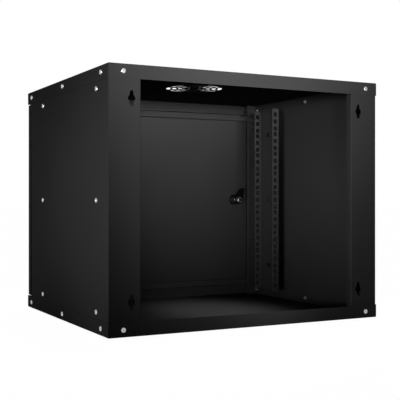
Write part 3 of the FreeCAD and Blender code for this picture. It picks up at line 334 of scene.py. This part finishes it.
def solids_of(name):
    """The boxes of a node's separate solids, which stand more than NEIGHBOUR apart."""
    boxes = []
    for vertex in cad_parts[name].data.vertices:
        low, high = vertex.co.copy(), vertex.co.copy()
        apart = []
        for box in boxes:
            gap = Vector(max(box[0][axis] - vertex.co[axis], 0, vertex.co[axis] - box[1][axis])
                         for axis in range(3))
            if gap.length < NEIGHBOUR:
                low, high = Vector(map(min, low, box[0])), Vector(map(max, high, box[1]))
            else:
                apart.append(box)
        boxes = apart + [(low, high)]
    return boxes


def outward_side(low, high):
    return Vector((math.copysign(1, low.x + high.x), 0, 0))


def inward_side(low, high):
    return -outward_side(low, high)


def rearward(low, high):
    return Vector((0, 1, 0))


def set_copies(model, node, direction_of, rise, body, finish, roll_step):
    """One copy of the model for each solid of the node, set where the CAD has that solid."""
    copies = []
    for number, (low, high) in enumerate(solids_of(node), start=1):
        direction = direction_of(low, high)
        middle = (low + high) / 2
        half = abs((high - low).dot(direction)) / 2
        seat = middle + direction * (half - rise * MM)
        copy = bpy.data.objects.new(f"{node}_{number}", model.data.copy())
        roll = Matrix.Rotation(math.radians(roll_step * number), 4, "Z")
        turn = direction.to_track_quat("Z", "Y").to_matrix().to_4x4()
        copy.data.transform(Matrix.Translation(seat) @ turn @ roll @ Matrix.Scale(MM, 4))
        copy.data.materials.clear()
        copy.data.materials.append(finish)
        scene.collection.objects.link(copy)
        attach(copy, body)
        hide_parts(node)
        copies.append(copy)
    return copies


def plated(name, dark, pale, rough, rub_colour):
    """A plated or bare metal whose colour clouds between dark and pale."""
    material, finish, place = new_finish(name)
    cloud = finish.noise(place, PLATE_GRAIN, 3)
    scratch = finish.noise(place, SCRATCH_GRAIN)
    edge_mark = finish.patchy_edge_mask(place, PLATE_RUB_WIDTH, PLATE_RUB_PATCHES)
    plating = finish.blend(cloud, dark, pale)
    close_finish(finish, {
        "Base Color": finish.blend(edge_mark * 0.5, plating, rub_colour),
        "Metallic": 1.0,
        "Roughness": rough + 0.16 * cloud + -0.06 * edge_mark,
        "Normal": finish.bump(scratch, SCRATCH_STRENGTH, SCRATCH_DEPTH),
    })
    return material


zinc = plated("bright_zinc", grey(0.36), grey(0.54), 0.22, grey(0.66))
case_screw = headed_screw("case_screw", HEAD_WIDTH, HEAD_HEIGHT, HEAD_ROUNDING)
for node, direction_of in (
        ("top_cover_side_screws", outward_side), ("bottom_cover_side_screws", outward_side),
        ("top_cover_rear_screws", rearward), ("bottom_cover_rear_screws", rearward),
        ("left_side_panel_screws", outward_side), ("right_side_panel_screws", outward_side)):
    set_copies(case_screw, node, direction_of, HEAD_HEIGHT, "cabinet", zinc,
               ROLL_STEP)
bpy.data.objects.remove(case_screw, do_unlink=True)

# ---------------------------------------------------------------- case nuts
# The screws run into zinc plated M5 hexagon nuts inside the case, one of them for every screw
# and every rail bolt.  Both faces of a nut are chamfered at the corners, as turned nuts are.
NUT_WIDTH = 8.0
NUT_HEIGHT = 4.0
BLANK_ROOM = 1.01
BLANK_SIDES = 48
CORNER_CHAMFER = 0.13
BAR_LENGTH = 1.2
DRILL_LENGTH = 1.5
NUT_CREASE = 28


def hexagon_nut(name, width, height, bore):
    """A nut in millimetres that stands on the XY plane, with its corners turned off."""
    corner = width / math.sqrt(3)
    start_piece()
    bpy.ops.mesh.primitive_cylinder_add(
        vertices=BLANK_SIDES, radius=corner * BLANK_ROOM, depth=height,
        location=(0, 0, height / 2))
    turned_blank = bpy.context.object
    turned_blank.name = "turned_blank"
    bpy.ops.object.transform_apply(location=True, rotation=True, scale=True)
    edit_faces(turned_blank, lambda face: abs(face.normal.z) > 0.9)
    bpy.ops.mesh.bevel(
        offset=corner * CORNER_CHAMFER, segments=2, profile=0.4, affect="EDGES")
    bpy.ops.object.mode_set(mode="OBJECT")
    start_piece()
    bpy.ops.mesh.primitive_cylinder_add(
        vertices=6, radius=corner, depth=height * BAR_LENGTH, location=(0, 0, height / 2),
        rotation=(0, 0, math.radians(30)))
    nut = bpy.context.object
    nut.name = name
    bpy.ops.object.transform_apply(location=True, rotation=True, scale=True)
    cut_with(nut, turned_blank, "INTERSECT")
    start_piece()
    bpy.ops.mesh.primitive_cylinder_add(
        vertices=ROUND_SIDES, radius=bore / 2, depth=height * DRILL_LENGTH,
        location=(0, 0, height / 2))
    drill = bpy.context.object
    drill.name = "drill"
    bpy.ops.object.transform_apply(location=True, rotation=True, scale=True)
    cut_with(nut, drill, "DIFFERENCE")
    soften(nut, NUT_CREASE)
    return nut


case_nut = hexagon_nut("case_nut", NUT_WIDTH, NUT_HEIGHT, SHANK_WIDTH)
for node, direction_of in (
        ("cover_side_nuts", inward_side), ("left_side_panel_nuts", inward_side),
        ("right_side_panel_nuts", inward_side), ("rail_nuts", outward_side),
        ("cover_rear_nuts", rearward)):
    set_copies(case_nut, node, direction_of, NUT_HEIGHT, "cabinet", zinc, 0)
bpy.data.objects.remove(case_nut, do_unlink=True)

# ---------------------------------------------------------------- rail bolts
# Each rail is bolted to its channel from inside by three low headed M5 bolts in black zinc, so
# that they stay clear of the equipment and don't show against the coat.
BOLT_HEAD = 10.0
BOLT_RISE = 1.8
BOLT_ROUNDING = 0.9

black_zinc = plated("black_zinc", grey(0.018), grey(0.03), 0.34, grey(0.06))
rail_bolt = headed_screw("rail_bolt", BOLT_HEAD, BOLT_RISE, BOLT_ROUNDING)
set_copies(rail_bolt, "rail_bolts", inward_side, BOLT_RISE, "cabinet", black_zinc,
           ROLL_STEP)
bpy.data.objects.remove(rail_bolt, do_unlink=True)

# ---------------------------------------------------------------- hinge
# The door hangs on a riveted lower pin, which runs on a washer of natural nylon, and on a sprung
# upper rod that a hand pulls down.  Both rods and the ring on the upper one are zinc plated.
NYLON_DARK = (0.74, 0.73, 0.69, 1)
NYLON_PALE = (0.83, 0.82, 0.79, 1)
NYLON_RUBBED = (0.62, 0.60, 0.55, 1)
NYLON_GRAIN = 0.004
NYLON_RUB_WIDTH = 0.0004
NYLON_DEPTH = 0.0001

dress(zinc, "lower_hinge_pin", "upper_hinge_pin", "hinge_stop_ring")


def nylon():
    material, finish, place = new_finish("white_nylon")
    cloud = finish.noise(place, NYLON_GRAIN, 3)
    edge_mark = finish.patchy_edge_mask(place, NYLON_RUB_WIDTH, NYLON_GRAIN)
    moulded = finish.blend(cloud, NYLON_DARK, NYLON_PALE)
    close_finish(finish, {
        "Base Color": finish.blend(edge_mark * 0.5, moulded, NYLON_RUBBED),
        "Roughness": 0.42 + 0.1 * cloud,
        "Normal": finish.bump(cloud, 0.08, NYLON_DEPTH),
    })
    return material


dress(nylon(), "lower_hinge_washer")

# ---------------------------------------------------------------- hinge spring
# A coil of drawn steel wire, closed at both ends, keeps the upper rod in the top cover.  It stands
# on the guide inside the door and shortens when the rod's ring comes down on it.
SPRING_WIRE = 1.0
SPRING_WIDTH = 9.2
SPRING_HEIGHT = 25.58
WIRE_SIDES = 12
TURN_STEPS = 28
WIRE_MERGE = 0.001
WIRE_CREASE = 50
OPEN_TURNS = 5
CLOSED_PITCH = 1.02
OPEN_PITCH = (SPRING_HEIGHT - SPRING_WIRE - 2 * CLOSED_PITCH) / OPEN_TURNS


def upward(low, high):
    return Vector((0, 0, 1))


def wound_wire(turns, pitch, level):
    """Some turns of the wire round the Z axis, in millimetres, that start at that level."""
    start_piece()
    bpy.ops.mesh.primitive_circle_add(
        vertices=WIRE_SIDES, radius=SPRING_WIRE / 2,
        location=((SPRING_WIDTH - SPRING_WIRE) / 2, 0, level), rotation=(math.radians(90), 0, 0))
    wire = bpy.context.object
    bpy.ops.object.transform_apply(location=True, rotation=True, scale=True)
    winding = wire.modifiers.new("winding", "SCREW")
    winding.steps = winding.render_steps = TURN_STEPS
    winding.iterations = turns
    winding.screw_offset = pitch
    bpy.ops.object.modifier_apply(modifier=winding.name)
    return wire


foot = wound_wire(1, CLOSED_PITCH, SPRING_WIRE / 2)
coil = wound_wire(OPEN_TURNS, OPEN_PITCH, SPRING_WIRE / 2 + CLOSED_PITCH)
crown = wound_wire(1, CLOSED_PITCH, SPRING_HEIGHT - SPRING_WIRE / 2 - CLOSED_PITCH)
start_piece()
for length in (foot, crown, coil):
    length.select_set(True)
bpy.context.view_layer.objects.active = coil
bpy.ops.object.join()
coil.name = "coil"
bpy.ops.object.mode_set(mode="EDIT")
bpy.ops.mesh.select_all(action="SELECT")
bpy.ops.mesh.remove_doubles(threshold=WIRE_MERGE)
bpy.ops.mesh.fill_holes(sides=0)
bpy.ops.mesh.normals_make_consistent(inside=False)
bpy.ops.object.mode_set(mode="OBJECT")
soften(coil, WIRE_CREASE)
spring_steel = plated("spring_steel", grey(0.36), grey(0.5), 0.28, grey(0.6))
(spring,) = set_copies(
    coil, "hinge_spring", upward, SPRING_HEIGHT, "door", spring_steel, 0)
bpy.data.objects.remove(coil, do_unlink=True)
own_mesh(spring)

# ---------------------------------------------------------------- lock
# A chromed cylinder lock is held in the door by a broad black nut.  Its plug drives a stamped
# black cam on a square, and a zinc plated nut keeps the cam on the plug's threaded end.
LOCK_NUT_WIDTH = 24.0
LOCK_NUT_HEIGHT = 4.0
LOCK_BARREL = 18.8
CAM_NUT_WIDTH = 13.0
CAM_NUT_HEIGHT = 5.0
CAM_STUD = 8.0
CAM_LEAN = 24

dress(plated("lock_chrome", grey(0.42), grey(0.55), 0.10, grey(0.62)), "lock_housing", "lock_plug")
black_nickel = plated("black_nickel", grey(0.006), grey(0.012), 0.34, grey(0.03))
dress(black_nickel, "lock_cam")
lock_nut = hexagon_nut("broad_nut", LOCK_NUT_WIDTH, LOCK_NUT_HEIGHT, LOCK_BARREL)
set_copies(lock_nut, "lock_nut", rearward, LOCK_NUT_HEIGHT, "door", black_nickel, 0)
bpy.data.objects.remove(lock_nut, do_unlink=True)
cam_nut = hexagon_nut("small_nut", CAM_NUT_WIDTH, CAM_NUT_HEIGHT, CAM_STUD)
set_copies(cam_nut, "lock_cam_nut", rearward, CAM_NUT_HEIGHT, "lock", zinc, CAM_LEAN)
bpy.data.objects.remove(cam_nut, do_unlink=True)

# ---------------------------------------------------------------- floor and light
# A plain white floor that keeps the cabinet's soft shadow and a white surround.  The two upper
# spots on the wall side are aimed over the top, so that their light fades downwards.  Five weaker
# ones reach the inside and the right side panel, and two fill the front, the left and the top.
FLOOR_WIDTH = 40
FLOOR_LEVEL = -0.0005
FLOOR_PAINT = 0.82
SURROUND_LEVEL = 0.12
FLOOR_GLOW = 0.94
GLOW_STRENGTH = 1.05


def white_where_seen(finish):
    """1 for camera, glossy and transmission rays, which should find the plain white background."""
    path = "ShaderNodeLightPath"
    rays = [finish.node(path, output=kind)
            for kind in ("Is Camera Ray", "Is Glossy Ray", "Is Transmission Ray")]
    either = finish.node("ShaderNodeMath", {"operation": "MAXIMUM"}, {0: rays[0], 1: rays[1]})
    return finish.node("ShaderNodeMath", {"operation": "MAXIMUM"}, {0: either, 1: rays[2]})


start_piece()
bpy.ops.mesh.primitive_plane_add(size=FLOOR_WIDTH, location=(0, 0, FLOOR_LEVEL))
floor = bpy.context.object
floor.name = "floor"
floor_paint, floor_finish, _ = new_finish("floor_paint")
white = white_where_seen(floor_finish)
diffuse = floor_finish.node("ShaderNodeBsdfDiffuse", {}, {"Color": grey(FLOOR_PAINT)})
glow = floor_finish.node("ShaderNodeEmission", {}, {"Color": grey(1.0), "Strength": GLOW_STRENGTH})
mixed = floor_finish.node("ShaderNodeMixShader", {}, {0: white * FLOOR_GLOW, 1: diffuse, 2: glow})
floor_finish.node("ShaderNodeOutputMaterial", {}, {"Surface": mixed})
floor.data.materials.append(floor_paint)

world = bpy.data.worlds.new("surround")
scene.world = world
world.use_nodes = True
sky = Finish(world.node_tree)
level = SURROUND_LEVEL + (1 - SURROUND_LEVEL) * white_where_seen(sky)
backdrop = sky.node("ShaderNodeBackground", {}, {"Color": grey(1.0), "Strength": level})
sky.node("ShaderNodeOutputWorld", {}, {"Surface": backdrop})


def soft_spot(name, place, aim, degrees, power, softness):
    """A spot lamp at a place, aimed at a point, whose light fades over its whole cone."""
    lamp_data = bpy.data.lights.new(name, "SPOT")
    lamp_data.energy = power
    lamp_data.spot_size = math.radians(degrees)
    lamp_data.spot_blend = 1.0
    lamp_data.shadow_soft_size = softness
    lamp = bpy.data.objects.new(name, lamp_data)
    lamp.location = place
    lamp.rotation_euler = (Vector(aim) - Vector(place)).to_track_quat("-Z", "Y").to_euler()
    scene.collection.objects.link(lamp)


soft_spot("upper_spot", (0.3, 3.15, 0.42), (0, 0, 0.66), 16, 1080, 0.22)
soft_spot("corner_spot", (1.2, 2.9, 0.42), (0, 0, 0.66), 16, 620, 0.22)
soft_spot("floor_spot", (-0.03, 1.5, 1.37), (-0.045, 0.03, 0), 9.5, 330, 0.06)
soft_spot("panel_spot", (1.45, 1.6, 0.26), (-0.28, 0.06, 0.28), 15, 275, 0.20)
soft_spot("door_spot", (0.9, 2.4, 0.25), (-0.12, -0.24, 0.17), 9, 190, 0.10)
soft_spot("side_spot", (3.0, 0.22, 0.30), (0.285, 0.20, 0.235), 14, 250, 0.12)
soft_spot("far_side_spot", (3.0, -0.2, 0.30), (0.285, -0.21, 0.235), 14, 132, 0.12)
soft_spot("front_spot", (-1.6, -2.8, 0.9), (0, -0.1, 0.24), 20, 330, 0.35)
soft_spot("top_spot", (-0.6, -0.4, 2.6), (0, 0, 0.46), 20, 200, 0.35)
